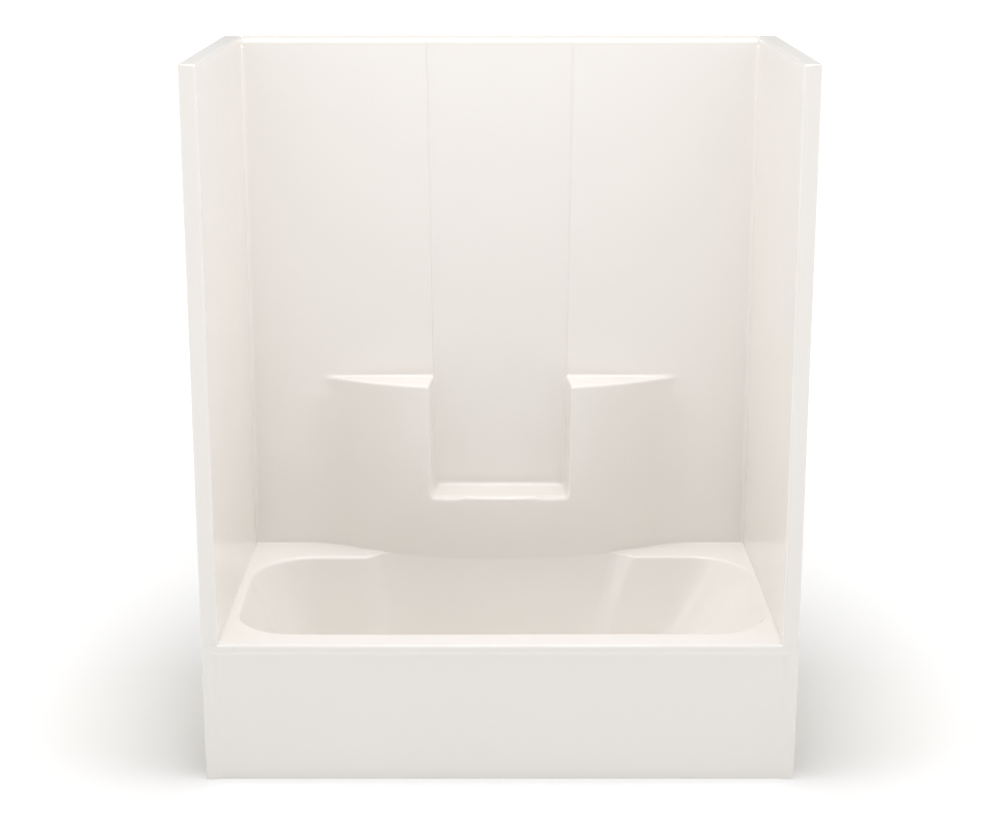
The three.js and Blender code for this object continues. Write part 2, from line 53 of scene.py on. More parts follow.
camera_data = bpy.data.cameras.new("camera")
camera_data.lens, camera_data.sensor_width = 70.78, 36
camera_data.shift_y = -0.05
camera_data.clip_end = 500
camera = placed("camera", camera_data)
camera.location = (0, -eye_distance, eye_height)
camera.rotation_euler = (math.pi / 2 - eye_tilt, 0, 0)
bpy.context.scene.camera = camera
bpy.context.scene.view_settings.view_transform = "Standard"


# Floor: a wide, matt, pale showroom floor.
# It is a flat disc, so its far edge lies well outside every view. It glows with painted light, faint near the unit
# and stronger further out, so that it runs out into white light far away.
class Reading:
    """A node's output as a number: each of Python's operators adds the Math node that works it out."""

    def __init__(self, finish, socket):
        self.finish, self.socket = finish, socket

    def worked(self, operation, first, second):
        return self.finish.node("ShaderNodeMath", {"operation": operation}, {0: first, 1: second})

    def __add__(self, other):
        return self.worked("ADD", self, other)

    __radd__ = __add__

    def __mul__(self, other):
        return self.worked("MULTIPLY", self, other)

    __rmul__ = __mul__

    def __sub__(self, other):
        return self.worked("SUBTRACT", self, other)

    def __rsub__(self, other):
        return self.worked("SUBTRACT", other, self)

    def __pow__(self, other):
        return self.worked("POWER", self, other)

    def __mod__(self, other):
        return self.worked("FLOORED_MODULO", self, other)

    def __gt__(self, other):
        return self.worked("GREATER_THAN", self, other)

    def output(self, name):
        """Another output of the same node."""
        return Reading(self.finish, self.socket.node.outputs[name])


class Finish:
    """A material that is built up one node at a time."""

    def __init__(self, name):
        self.material = bpy.data.materials.new(name)
        self.material.use_nodes = True
        self.tree = self.material.node_tree
        self.tree.nodes.clear()
        self.place = self.node("ShaderNodeTexCoord").output("Object")

    def node(self, kind, settings=None, sockets=None):
        """Adds a node of a kind: its settings first, then the value or the link of each socket."""
        made = self.tree.nodes.new(kind)
        for key, value in (settings or {}).items():
            if key == "stops":
                while len(made.color_ramp.elements) < len(value):
                    made.color_ramp.elements.new(1)
                for stop, (place, colour) in zip(made.color_ramp.elements, value):
                    stop.position, stop.color = place, (*colour, 1)
            else:
                setattr(made, key, value)
        for key, value in (sockets or {}).items():
            if isinstance(value, Reading):
                self.tree.links.new(value.socket, made.inputs[key])
            else:
                made.inputs[key].default_value = value
        return Reading(self, made.outputs[0]) if made.outputs else None

    def noise(self, place, scale, detail=3.0, roughness=0.5):
        """Soft noise from 0 to 1, with that many lumps to the metre."""
        sockets = {"Vector": place, "Scale": scale, "Detail": detail, "Roughness": roughness}
        return self.node("ShaderNodeTexNoise", None, sockets)

    def turned(self, rotation=(0, 0, 0), scale=(1, 1, 1)):
        """The place on the object, turned first and then stretched."""
        sockets = {"Vector": self.place, "Rotation": rotation, "Scale": [1 / s for s in scale]}
        return self.node("ShaderNodeMapping", {"vector_type": "TEXTURE"}, sockets)

    def streaks(self, axis, along, across, detail):
        """Noise with that many lumps to the metre along an axis and across it."""
        scale = [along if i == axis else across for i in range(3)]
        return self.noise(self.turned(scale=scale), 1.0, detail)

    def ramp(self, value, stops):
        """A colour for each value, between the stops."""
        return self.node("ShaderNodeValToRGB", {"stops": stops}, {"Fac": value})

    def blend(self, share, first, second):
        """The first colour where the share is 0, the second where it is 1."""
        colours = [(*c, 1) if isinstance(c, tuple) else c for c in (first, second)]
        mixed = self.node("ShaderNodeMix", {"data_type": "RGBA"}, {0: share, 6: colours[0], 7: colours[1]})
        return Reading(self, mixed.socket.node.outputs[2])

    def bump(self, height, depth, strength=1.0):
        """The normal of a surface whose relief is height times depth, in metres."""
        return self.node("ShaderNodeBump", None, {"Height": height, "Distance": depth, "Strength": strength})

    def surface(self, sockets):
        """Ends the material in one Principled shader and returns the material."""
        shader = self.node("ShaderNodeBsdfPrincipled", None, sockets)
        self.node("ShaderNodeOutputMaterial", None, {"Surface": shader})
        return self.material


def skin(name, grids, materials, closed=False):
    """One welded mesh from grids of points, each rows by columns by 3, with a face between each four neighbours.
    Where closed is set, the last column joins the first. The faces are smooth, and the sharp edges and the rims
    are creases in their shading."""
    points, faces, start = [], [], 0
    for grid in grids:
        rows, columns = grid.shape[:2]
        index = start + np.arange(rows * columns).reshape(rows, columns)
        after = np.roll(index, -1, axis=1) if closed else index[:, 1:]
        here = index if closed else index[:, :-1]
        quads = np.stack([here[:-1], after[:-1], after[1:], here[1:]], -1)
        points.append(grid.reshape(-1, 3))
        faces.append(quads.reshape(-1, 4))
        start += rows * columns
    mesh = bpy.data.meshes.new(name)
    mesh.from_pydata(np.concatenate(points).tolist(), [], np.concatenate(faces).tolist())
    work = bmesh.new()
    work.from_mesh(mesh)
    bmesh.ops.remove_doubles(work, verts=work.verts, dist=1e-5)
    bmesh.ops.dissolve_degenerate(work, edges=work.edges, dist=1e-6)
    for face in work.faces:
        face.smooth = True
    for edge in work.edges:
        edge.smooth = len(edge.link_faces) == 2 and edge.calc_face_angle() < 0.7
    work.to_mesh(mesh)
    work.free()
    piece = placed(name, mesh)
    for material in materials:
        mesh.materials.append(material)
    return piece


floor_finish = Finish("showroom_floor")
floor_tone = floor_finish.noise(floor_finish.place, 0.6)
# Painted light: the floor's glow grows with the distance from the unit, faster to its sides than in front, so that
# the unit's shadow on the floor stays faint.
floor_place = floor_finish.turned(scale=(1, 0.5, 1))
floor_reach = floor_finish.node("ShaderNodeVectorMath", {"operation": "LENGTH"}, {0: floor_place})
floor_shine = floor_finish.ramp(floor_reach.output("Value") * 0.1, [(0.08, (0.15,) * 3), (0.24, (0.66,) * 3)])
floor_material = floor_finish.surface({
    "Base Color": floor_finish.blend(floor_tone, (0.90, 0.90, 0.90), (0.93, 0.93, 0.93)),
    "Roughness": 0.7,
    "Specular IOR Level": 0.1,
    "Emission Color": floor_shine,
    "Emission Strength": 1.0,
})
around = np.linspace(0, 2 * np.pi, 96, endpoint=False)
out = np.array([0, 1, 3, 8, 20, 60, 120])[:, None]
floor_grid = np.stack([out * np.cos(around), out * np.sin(around), 0 * out * around], -1)
floor = skin("floor", [floor_grid], [floor_material], closed=True)

# Light: an even white room with one lamp high above the unit and one high in front of it. Two more stand wide to
# its sides, and two high ones shine across it at the end walls. All are broad and soft.
room = bpy.data.worlds.new("room")
room.use_nodes = True
sky = room.node_tree.nodes["Background"].inputs
sky["Color"].default_value, sky["Strength"].default_value = (1, 1, 1, 1), 0.40
bpy.context.scene.world = room
for name, place, aim, power, size in (
    ("high_lamp", (0, -0.20, 5.5), (0, -0.20, 0), 85, 1.8),
    ("front_lamp", (0, -2.6, 5.0), (0, 0.1, 0.6), 20, 1.8),
    ("left_lamp", (-4.2, -2.9, 3.4), (0.7, 0, 0.9), 24, 2.6),
    ("right_lamp", (4.2, -2.9, 3.4), (-0.7, 0, 0.9), 24, 2.6),
    ("left_cross_lamp", (-2.3, -0.45, 4.4), (0.74, 0, 0.9), 21, 1.4),
    ("right_cross_lamp", (2.3, -0.45, 4.4), (-0.74, 0, 0.9), 21, 1.4),
):
    lamp_data = bpy.data.lights.new(name, "AREA")
    lamp_data.energy, lamp_data.size = power, size
    lamp = placed(name, lamp_data)
    lamp.location = place
    lamp.rotation_euler = (Vector(aim) - Vector(place)).to_track_quat("-Z", "Y").to_euler()
    lamp.visible_camera = False

# Tub: one moulding of pigmented gelcoat on glass-fibre laminate, 5 mm thick, laid up on a polished mould.
# Its apron, rim, deck, corner ledges and basin are one skin; the rear keeps the rough lay-up.
half_width, front, rear = 0.762, -0.4065, 0.4065
laminate = 0.005
inner_front, wall_face = 0.720, 0.3785
rim_height, floor_height = 0.371, 0.051
basin_left, basin_right, basin_front, basin_back = -0.690, 0.698, -0.3205, 0.2595
floor_left, floor_right, floor_front = -0.600, 0.488, -0.2765
rim_corners, floor_corners = (0.160, 0.164), (0.130, 0.110)
bow_radius, bow_centre, bow_half = 0.993426, 1.236926, 0.500
ledge_tip, ledge_blend, back_slope = 0.312, 0.076, 0.046
rim_radius, cove_radius = 0.012, 0.060
nose_radius, apron_setback, corner_edge = 0.009, 0.004, 0.003
drain, hole_radius, floor_fall = np.array([-0.478, -0.0315]), 0.025, 0.004
tub_hem, rear_turn, deck_ease, floor_blend = 0.040, 0.550, 0.35, 0.012
fall_start, fall_reach, fall_height = 0.04, 0.9, 0.09
drain_x, drain_y = drain


def smooth(share):
    """Eases from 0 to 1: 3 s squared minus 2 s cubed, held at its ends."""
    share = np.clip(share, 0, 1)
    return share * share * (3 - 2 * share)


def bow_line(x):
    """Depth of the swell's front at x: a circle about the bow centre, held past its chord."""
    return bow_centre - np.sqrt(bow_radius ** 2 - np.minimum(np.abs(x), bow_half) ** 2)


def span(start, stop, count):
    """Evenly spaced values or points from start up to, but not at, stop."""
    return np.linspace(start, stop, count, endpoint=False)


def arc(x, y, radius, start, stop, count):
    """Points of an arc about x and y, from one angle up to, but not at, another."""
    angle = span(start, stop, count)
    return np.stack([x + radius * np.cos(angle), y + radius * np.sin(angle)], -1)


runs = {"corner": 31, "front": 44, "end": 24, "far": 22, "back": 84}


def rim_back(x):
    """Depth of the basin's rear edge at x: the corner ledge's edge, easing into the swell between the ledges."""
    share = smooth((np.abs(x) - ledge_tip) / ledge_blend)
    return basin_back * share + bow_line(x) * (1 - share)


def floor_back(x):
    """Depth of the rear edge of the floor at x: the nearer of a straight line and the swell's line, both moved
    forward by the wall's slope, with the corner between them rounded."""
    gap = basin_back - bow_line(x)
    return basin_back - back_slope - 0.5 * (gap + np.sqrt(gap ** 2 + floor_blend ** 2))


def basin_loop(left, right, near, far, back_line, near_turn, far_turn):
    """Plan of the basin as a loop of points: arcs at the corners, straight runs at the front and the ends, and the
    given line at the back."""
    back = span(right - far_turn, left + far_turn, runs["back"])
    return np.concatenate([
        arc(left + near_turn, near + near_turn, near_turn, -np.pi, -np.pi / 2, runs["corner"]),
        span((left + near_turn, near), (right - near_turn, near), runs["front"]),
        arc(right - near_turn, near + near_turn, near_turn, -np.pi / 2, 0, runs["corner"]),
        span((right, near + near_turn), (right, far - far_turn), runs["end"]),
        arc(right - far_turn, far - far_turn, far_turn, 0, np.pi / 2, runs["far"]),
        np.stack([back, back_line(back)], -1),
        arc(left + far_turn, far - far_turn, far_turn, np.pi / 2, np.pi, runs["far"]),
        span((left, far - far_turn), (left, near + near_turn), runs["end"]),
    ])


def unit(steps):
    """Steps drawn to length 1."""
    return steps / np.maximum(np.linalg.norm(steps, axis=-1, keepdims=True), 1e-9)


def right_of(way):
    """Unit steps in plan, square to the steps of a path and to the right of them."""
    return unit(np.stack([way[:, 1], -way[:, 0]], -1))


def raised(plan, height):
    """Points in plan, with their height as the third length."""
    return np.concatenate([plan, np.broadcast_to(height, plan.shape[:-1])[..., None]], -1)


rim = basin_loop(basin_left, basin_right, basin_front, basin_back, rim_back, *rim_corners)
low = basin_loop(floor_left, floor_right, floor_front, basin_back - back_slope - 0.001, floor_back,
                 *floor_corners)
ledge_share = np.where(rim[:, 1] > 0, smooth((np.abs(rim[:, 0]) - ledge_tip) / ledge_blend), 1.0)
foot = low - cove_radius * right_of(np.roll(low, -1, 0) - np.roll(low, 1, 0))

# Outer edge of the moulding, in the same order: along the left hem, round the corner, over the strip and apron.
strip_places = np.concatenate([[0.759, 0.750], np.linspace(0.7425, 0.7155, 10),
                               [0.7105, 0.703, 0.685, 0.650, 0.600, 0.550]])
end_front, end_rear, apron_half = -0.235, 0.20, 0.500
mirror = np.array([-1, 1])
corner_xy = np.concatenate([
    span((-half_width, end_front), (-half_width, front + tub_hem), 4),
    span((-half_width, front + tub_hem), (-half_width, front + corner_edge), 4),
    arc(corner_edge - half_width, front + corner_edge, corner_edge, np.pi, 1.5 * np.pi, 5),
    np.stack([-strip_places, np.full(len(strip_places), front)], -1),
])
front_xy = span((-apron_half, front), (apron_half, front), runs["front"])
far_corner_xy = np.concatenate([
    span((half_width, end_rear), (half_width, rear), 11),
    span((half_width, rear), (rear_turn, rear), 11),
])
edge_xy = np.concatenate([
    corner_xy,
    front_xy,
    (np.concatenate([corner_xy[1:], front_xy[:1]]) * mirror)[::-1],
    span((half_width, end_front), (half_width, end_rear), runs["end"]),
    far_corner_xy,
    span((rear_turn, rear), (-rear_turn, rear), runs["back"]),
    (np.concatenate([far_corner_xy[1:], [[rear_turn, rear]]]) * mirror)[::-1],
    span((-half_width, end_rear), (-half_width, end_front), runs["end"]),
])
inward = np.zeros_like(edge_xy)
inward[:, 0] = -np.sign(edge_xy[:, 0]) * (np.abs(edge_xy[:, 0]) > half_width - 1e-6)
inward[:, 1] = 1.0 * (np.abs(edge_xy[:, 1] - front) < 1e-6)
turn_centre = np.array([half_width - corner_edge, front + corner_edge])
in_turn = (np.abs(edge_xy[:, 0]) > turn_centre[0]) & (edge_xy[:, 1] < turn_centre[1])
to_centre = turn_centre * np.stack([np.sign(edge_xy[:, 0]), np.ones(len(edge_xy))], -1) - edge_xy
inward[in_turn] = to_centre[in_turn] / corner_edge

# Front face: strips flush with the rim's nose, the apron a little behind them, eased in at the strips.
face = slice(4, 2 * runs["corner"] + runs["front"] - 3)
nose_start, nose_ease, apron_start, apron_ease, edge_turn = 0.731, 0.020, 0.738, 0.018, 0.001
nose_foot, nose_rise = 0.3445, 0.009
face_xy, face_in = edge_xy[face], inward[face]
face_x = np.abs(face_xy[:, 0])
on_front = face_xy[:, 1] < front + 1e-6
nose_share = smooth((nose_start - face_x) / nose_ease) * on_front
turn_radius = edge_turn + (nose_radius - edge_turn) * nose_share
turn_radius[[0, -1]] = 0.0002
setback = apron_setback * smooth((apron_start - face_x) / apron_ease) * on_front
face_z = np.concatenate([np.linspace(0, 0.30, 7), [0.33, 0.342], np.linspace(0.3445, 0.3545, 6), [0.358]])[:, None]
below_nose = 1 - smooth((face_z - nose_foot) / nose_rise)
quarter = np.linspace(0, np.pi / 2, 9)[:, None]
face_inset = np.concatenate([below_nose * setback, turn_radius * (1 - np.cos(quarter))])
face_height = np.concatenate([face_z + 0 * face_x, rim_height - turn_radius * (1 - np.sin(quarter))])
face_grid = raised(face_xy + face_in * face_inset[..., None], face_height)

# Deck and basin: each column runs from the outer edge over the deck, the rim's rounding, the wall and the cove
# to the drain hole. The wall is the line that touches both roundings, and its lean is found in four rounds.
deck_edge = edge_xy.copy()
deck_edge[face] = face_grid[-1, :, :2]
across = np.linalg.norm(foot - rim, axis=-1)
way = (foot - rim) / across[:, None]
drop = rim_height - floor_height
top_radius = rim_radius * ledge_share + 0.0004
lean = np.arctan2(across - cove_radius, drop)
for _ in range(4):
    top_corner = -top_radius * np.tan(lean)
    low_corner = across - cove_radius * np.tan((np.pi / 2 - lean) / 2)
    lean = np.arctan2(low_corner - top_corner, drop)
turn = np.pi / 2 - lean
top_start = top_corner - top_radius * np.tan(turn / 2)
top_angle, low_angle = turn * np.linspace(0, 1, 9)[:, None], turn * np.linspace(1, 0, 13)[:, None]
top_part = np.stack([top_start + top_radius * np.sin(top_angle),
                     rim_height - top_radius * (1 - np.cos(top_angle))], -1)
low_part = np.stack([across - cove_radius * np.sin(low_angle),
                     floor_height + cove_radius * (1 - np.cos(low_angle))], -1)
wall_part = top_part[-1] + (low_part[0] - top_part[-1]) * np.linspace(0, 1, 16)[1:-1, None, None]
slope = np.concatenate([top_part, wall_part, low_part])
basin = rim + way * slope[..., :1]
share = np.linspace(0, 1, 11)[:-1, None, None]
deck = deck_edge + (basin[0] - deck_edge) * (deck_ease * smooth(share) + (1 - deck_ease) * share)
hole = drain + hole_radius * unit(basin[-1] - drain)
bottom = basin[-1] + (hole - basin[-1]) * np.linspace(0, 1, 20)[1:, None, None]
tub_xy = np.concatenate([deck, basin, bottom])
tub_z = np.concatenate([np.full(deck.shape[:2], rim_height), slope[..., 1],
                        np.full(bottom.shape[:2], floor_height)])
fall = floor_fall * smooth((np.linalg.norm(tub_xy - drain, axis=-1) - fall_start) / fall_reach)
basin_grid = raised(tub_xy, tub_z + fall * smooth((floor_height + fall_height - tub_z) / fall_height))

moulding_colours = (0.910, 0.880, 0.843), (0.920, 0.891, 0.855)
gelcoat = Finish("gelcoat")
broad = gelcoat.noise(gelcoat.place, 2.2, 2.0)
orange_peel = gelcoat.noise(gelcoat.place, 260.0, 2.0)
print_through = gelcoat.noise(gelcoat.place, 9.0, 3.0)
gelcoat_material = gelcoat.surface({
    "Base Color": gelcoat.blend(broad, *moulding_colours),
    "Roughness": 0.16 + 0.06 * broad,
    "IOR": 1.52,
    "Normal": gelcoat.bump(orange_peel * 0.035 + print_through * 0.9, 0.0006, 0.5),
})

lay_up = Finish("lay_up")
strands = None
for angle in (0.35, 1.30, 2.30):
    for turn, stretch in (((0, angle, 0), (22, 520, 520)), ((angle, 0, 0), (520, 22, 520))):
        layer = lay_up.noise(lay_up.turned(turn, stretch), 1.0, 1.0)
        strands = layer if strands is None else layer.worked("MAXIMUM", strands, layer)
lay_up_blotch = lay_up.noise(lay_up.place, 14.0, 4.0)
lay_up_material = lay_up.surface({
    "Base Color": lay_up.blend(
        lay_up_blotch,
        lay_up.ramp(strands, [(0.52, (0.55, 0.50, 0.36)), (0.72, (0.80, 0.77, 0.64))]),
        lay_up.ramp(strands, [(0.52, (0.63, 0.59, 0.47)), (0.72, (0.86, 0.84, 0.74))]),
    ),
    "Roughness": 0.42 + 0.25 * lay_up_blotch,
    "Normal": lay_up.bump(strands + lay_up_blotch, 0.0022, 0.8),
})


def shell(piece, thickness):
    """Gives a moulded skin its thickness, with the rough lay-up on the side away from the mould."""
    wall = piece.modifiers.new("laminate", "SOLIDIFY")
    wall.thickness, wall.offset, wall.use_even_offset = thickness, -1, False
    wall.material_offset, wall.material_offset_rim = 1, 1
    return piece


tub = skin("tub_shell", [face_grid, np.concatenate([basin_grid, basin_grid[:, :1]], axis=1)],
           [gelcoat_material, lay_up_material])
shell(tub, laminate)
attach(tub, "unit")
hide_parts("tub")

# Upstand: a lip 25 mm high along the rear and the two ends of the deck, moulded in one with the tub.
# The walls come down in front of it, so that water behind them runs back into the tub.
lip_line, lip_rear, lip_start, lip_foot, lip_top = 0.729, 0.404, -0.400, 0.3665, 0.396
lip_half_thick, lip_corner = 0.0025, 0.006


def loop_of(corners, steps=5, closed=True):
    """A profile with rounded corners. Each corner is two lengths and a radius: its arc is turned evenly from one
    side to the other about the centre that lies that radius from both."""
    corners = np.asarray(corners, float)
    here, radius = corners[:, :2], corners[:, 2:]
    last, following = unit(np.roll(here, 1, 0) - here), unit(np.roll(here, -1, 0) - here)
    half = np.minimum(np.arccos(np.clip(np.sum(last * following, -1, keepdims=True), -1, 1)) / 2, 1.57)
    centre = here + unit(last + following) * radius / np.sin(half)
    first_arm = here + last * radius / np.tan(half) - centre
    last_arm = here + following * radius / np.tan(half) - centre
    sweep, share = np.pi - 2 * half[:, None], np.linspace(0, 1, steps)[None, :, None]
    arcs = first_arm[:, None] * np.sin((1 - share) * sweep) + last_arm[:, None] * np.sin(share * sweep)
    points = (centre[:, None] + arcs / np.sin(sweep)).reshape(-1, 2)
    return np.concatenate([points, points[:1]]) if closed else points


def carried(path, section):
    """A closed section, each point its distance to the right of the path and its height, carried along a path in
    plan. Both ends are drawn together to a point."""
    plan = path[:, None] + right_of(np.gradient(path, axis=0))[:, None] * section[None, :, :1]
    grid = raised(plan, section[:, 1])
    caps = np.broadcast_to(grid.mean(axis=1, keepdims=True)[[0, -1]], (2, len(section), 3))
    return np.concatenate([caps[:1], grid, caps[1:]])


def edged_section(low, high, foot, top, radius):
    """A rectangle with rounded corners, clockwise from its lower left corner, without its closing point."""
    return loop_of([(low, foot, radius), (low, top, radius), (high, top, radius), (high, foot, radius)])[:-1]


lip_half = np.concatenate([
    span((lip_line, lip_start), (lip_line, lip_rear - lip_corner), 40),
    arc(lip_line - lip_corner, lip_rear - lip_corner, lip_corner, 0, np.pi / 2, 6),
    [[lip_line - lip_corner, lip_rear]],
])
lip_path = np.concatenate([lip_half, (lip_half * mirror)[::-1]])
lip_section = edged_section(-lip_half_thick, lip_half_thick, lip_foot, lip_top, 0.0018)
upstand = skin("tub_upstand", [carried(lip_path, lip_section)], [gelcoat_material], closed=True)
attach(upstand, "unit")
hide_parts("tub")

# Base: a plywood board bonded under the basin's floor on two timber runners that stand on the ground.
# The board keeps a round hole for the waste outlet.
def timber(name, axis, pith):
    """Sawn softwood with its grain along an axis. Its rings are circles about a pith that wanders a little along
    the board, pale where the spring's wood is and dark where the summer's wood ends."""
    finish = Finish(name)
    parts = finish.node("ShaderNodeSeparateXYZ", None, {"Vector": finish.place})
    across = [parts.output("XYZ"[i]) for i in range(3) if i != axis]
    wander = finish.streaks(axis, 1.2, 7.0, 2.0)
    first, second = across[0] - pith[0] + 0.05 * wander, across[1] - pith[1] + 0.03 * wander
    radius = (first * first + second * second) ** 0.5
    rings = (radius * 230 + 0.5 * wander) % 1.0
    fibre = finish.streaks(axis, 8.0, 900.0, 2.0)
    wood = finish.ramp(rings + 0.16 * fibre - 0.08, [
        (0.00, (0.70, 0.50, 0.29)),
        (0.62, (0.63, 0.42, 0.22)),
        (0.90, (0.43, 0.25, 0.11)),
        (1.00, (0.66, 0.46, 0.26)),
    ])
    cells = finish.node("ShaderNodeTexVoronoi", None, {"Vector": finish.place, "Scale": 3.1})
    knot = finish.ramp(cells, [(0.045, (1, 1, 1)), (0.075, (0, 0, 0))])
    saw = finish.streaks(axis, 260.0, 14.0, 1.0)
    return finish.surface({
        "Base Color": finish.blend(knot, finish.blend(fibre * 0.5, wood, (0.74, 0.56, 0.36)), (0.20, 0.10, 0.045)),
        "Roughness": 0.62 + 0.2 * fibre,
        "Specular IOR Level": 0.3,
        "Normal": finish.bump(fibre + saw * 0.7 + rings * 0.3, 0.0006, 0.7),
    }), "timber"


def plywood(name, axis, start, thickness, plies):
    """Plywood: plies counted from one face across the board, every second one with its grain turned and its end
    grain darker, with a thin dark glue line between two plies."""
    finish = Finish(name)
    parts = finish.node("ShaderNodeSeparateXYZ", None, {"Vector": finish.place})
    deep = parts.output("XYZ"[axis])
    deep = deep.worked("ABSOLUTE", deep, 0.0)
    layer = (deep - start) * (0.996 * plies / thickness) + 0.002 * plies
    turned_ply = (layer % 2.0) > 1.0
    glue = (layer % 1.0) > 0.92
    lengthwise = finish.streaks(1, 5.0, 300.0, 3.0)
    crosswise = finish.streaks(0, 5.0, 300.0, 3.0)
    figure = finish.streaks(1, 3.0, 60.0, 4.0)
    pale = finish.ramp(figure * 0.6 + lengthwise * 0.4, [(0.30, (0.50, 0.33, 0.17)), (0.68, (0.70, 0.51, 0.31))])
    dark = finish.ramp(crosswise, [(0.30, (0.34, 0.20, 0.10)), (0.70, (0.50, 0.33, 0.18))])
    return finish.surface({
        "Base Color": finish.blend(glue * 0.7, finish.blend(turned_ply, pale, dark), (0.16, 0.08, 0.04)),
        "Roughness": 0.60 + 0.22 * lengthwise,
        "Specular IOR Level": 0.3,
        "Normal": finish.bump(lengthwise + turned_ply * crosswise, 0.0004, 0.7),
    }), "plywood"


def dress_boards(finish, edge, *names):
    """Copies of CAD boards: their triangles are merged into flat faces, and a bevel eases their edges. The finish
    is a material with its slot; the slot is not used."""
    material, slot = finish
    for name in names:
        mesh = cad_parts[name].data.copy()
        work = bmesh.new()
        work.from_mesh(mesh)
        bmesh.ops.remove_doubles(work, verts=work.verts, dist=1e-6)
        bmesh.ops.dissolve_limit(work, angle_limit=math.radians(1), verts=work.verts, edges=work.edges)
        work.to_mesh(mesh)
        work.free()
        mesh.materials.clear()
        mesh.materials.append(material)
        piece = placed(f"{name}_dressed", mesh)
        bevel = piece.modifiers.new("eased_edges", "BEVEL")
        bevel.width, bevel.segments, bevel.limit_method, bevel.angle_limit = edge, 2, "ANGLE", math.radians(30)
        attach(piece, "unit")
        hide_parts(name)


board_foot, board_thickness = 0.034, 0.012
runner_wood = timber("runner_softwood", 0, (0.06, -0.05))
dress_boards(plywood("base_plywood", 2, board_foot, board_thickness, 5), 0.0008, "base_board")
dress_boards(runner_wood, 0.0025, "front_runner", "rear_runner")

# Apron frame: a toe board on the ground, three posts and a batten under the front rail, all sawn softwood.
# They are bonded to the back of the apron, so that it doesn't give when someone leans on it.
upright_wood, batten_edge = timber("upright_softwood", 2, (0.31, -0.28)), 0.002
dress_boards(runner_wood, batten_edge, "toe_board", "rail_batten")
dress_boards(upright_wood, batten_edge, "apron_post_left", "apron_post_centre", "apron_post_right")

# Deck battens: three softwood boards on edge under the rear and the ends of the deck.
# The unit is screwed to the studs of the recess through them.
cross_wood = timber("cross_softwood", 1, (0.70, 0.22))
dress_boards(runner_wood, batten_edge, "rear_deck_batten")
dress_boards(cross_wood, batten_edge, "left_deck_batten", "right_deck_batten")

# Waste outlet: a chromed brass body with a flange on the basin's floor and a threaded tail with a cross of bars.
# A gasket lies under the flange. A washer and a locknut under the floor draw it tight.
flange_foot, flange_top, tail_foot = 0.0525, 0.0555, 0.011
bar_foot, bar_top, bar_reach = 0.031, 0.037, 0.022
bore_radius, ring_bore, cap_foot = 0.0200, 0.0243, 0.0583


def clouded(name, cloud, colours, roughness, grain, relief, metal=0.0):
    """A finish whose colour and roughness follow a soft cloud, from the first of two values to their sum or to the
    second. Cloud and grain are noises, each a scale and a detail, and the relief of the grain is a depth and a
    strength."""
    finish = Finish(name)
    share = finish.noise(finish.place, *cloud)
    return finish.surface({
        "Base Color": finish.blend(share, *colours),
        "Metallic": metal,
        "Roughness": roughness[0] + roughness[1] * share,
        "Normal": finish.bump(finish.noise(finish.place, *grain), *relief),
    })


chrome_finish = Finish("polished_chrome")
chrome_haze = chrome_finish.noise(chrome_finish.place, 55.0, 4.0)
chrome_scratch = chrome_finish.streaks(2, 60, 900, 1.0)
chrome = chrome_finish.surface({
    "Base Color": chrome_finish.blend(chrome_haze, (0.80, 0.82, 0.84), (0.88, 0.89, 0.90)),
    "Metallic": 1.0,
    "Roughness": 0.05 + 0.10 * chrome_haze,
    "Normal": chrome_finish.bump(chrome_scratch, 0.00006, 0.4),
}), "chrome_plate"
rubber = clouded("black_rubber", (90.0, 4.0), ((0.017, 0.017, 0.019), (0.040, 0.040, 0.042)), (0.50, 0.25),
                 (1800.0,), (0.00015, 0.6)), "black_rubber"
zinc = clouded("zinc_plating", (160.0, 4.0), ((0.52, 0.54, 0.57), (0.68, 0.69, 0.70)), (0.26, 0.24),
               (160.0, 4.0), (0.0001, 0.5), metal=1.0), "zinc_plate"


def lathe(profile, count=96):
    """A profile, each point its radius and its height, turned about the outlet's upright axis."""
    angle = span(0, 2 * np.pi, count)
    radius, height = profile[:, :1], profile[:, 1:]
    return np.stack([drain_x + radius * np.cos(angle), drain_y + radius * np.sin(angle), height + 0 * angle], -1)


def ring_profile(bore, out, foot, top, radius):
    """The section of a flat ring with rounded corners."""
    return loop_of([(bore, foot, radius), (out, foot, radius), (out, top, radius), (bore, top, radius)])


def place_piece(name, grids, finish, body, *nodes):
    """A closed piece on the frame: its grids wrap round, and it takes the place of the named nodes. Its finish is
    a material with its slot; the slot is not used."""
    material, slot = finish
    piece = skin(name, grids, [material], closed=True)
    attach(piece, body)
    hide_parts(*nodes)


thread_z = np.arange(0.0130, 0.0450, 0.0010)
thread_r = np.where(np.arange(len(thread_z)) % 2, 0.0232, 0.0240)
body_profile = loop_of(
    [(bore_radius, tail_foot, 0.0008), (0.0236, tail_foot, 0.0008)]
    + [(r, z, 0.0002) for r, z in zip(thread_r, thread_z)]
    + [(0.0240, 0.0462, 0.0002), (0.0240, flange_foot, 0.0003), (0.0360, flange_foot, 0.0008),
       (0.0360, 0.0543, 0.0010), (0.0335, flange_top, 0.0030), (0.0240, 0.0549, 0.0030),
       (bore_radius, 0.0535, 0.0020)],
    steps=4)
bar_section = edged_section(-0.0015, 0.0015, bar_foot, bar_top, 0.0007)
bar_run = np.linspace(-bar_reach, bar_reach, 9)
bar_across, bar_along = drain + np.outer(bar_run, (1, 0)), drain + np.outer(bar_run, (0, 1))
hub_profile = loop_of([(0, bar_foot, 0), (0.0080, bar_foot, 0.0008), (0.0080, bar_top, 0.0008), (0, bar_top, 0)],
                      closed=False)
place_piece("waste_outlet", [lathe(body_profile), lathe(hub_profile, 48), carried(bar_across, bar_section),
                             carried(bar_along, bar_section)], chrome, "unit", "drain_body")
place_piece("outlet_gasket", [lathe(ring_profile(ring_bore, 0.0360, 0.0510, flange_foot, 0.0006))],
            rubber, "unit", "drain_gasket")
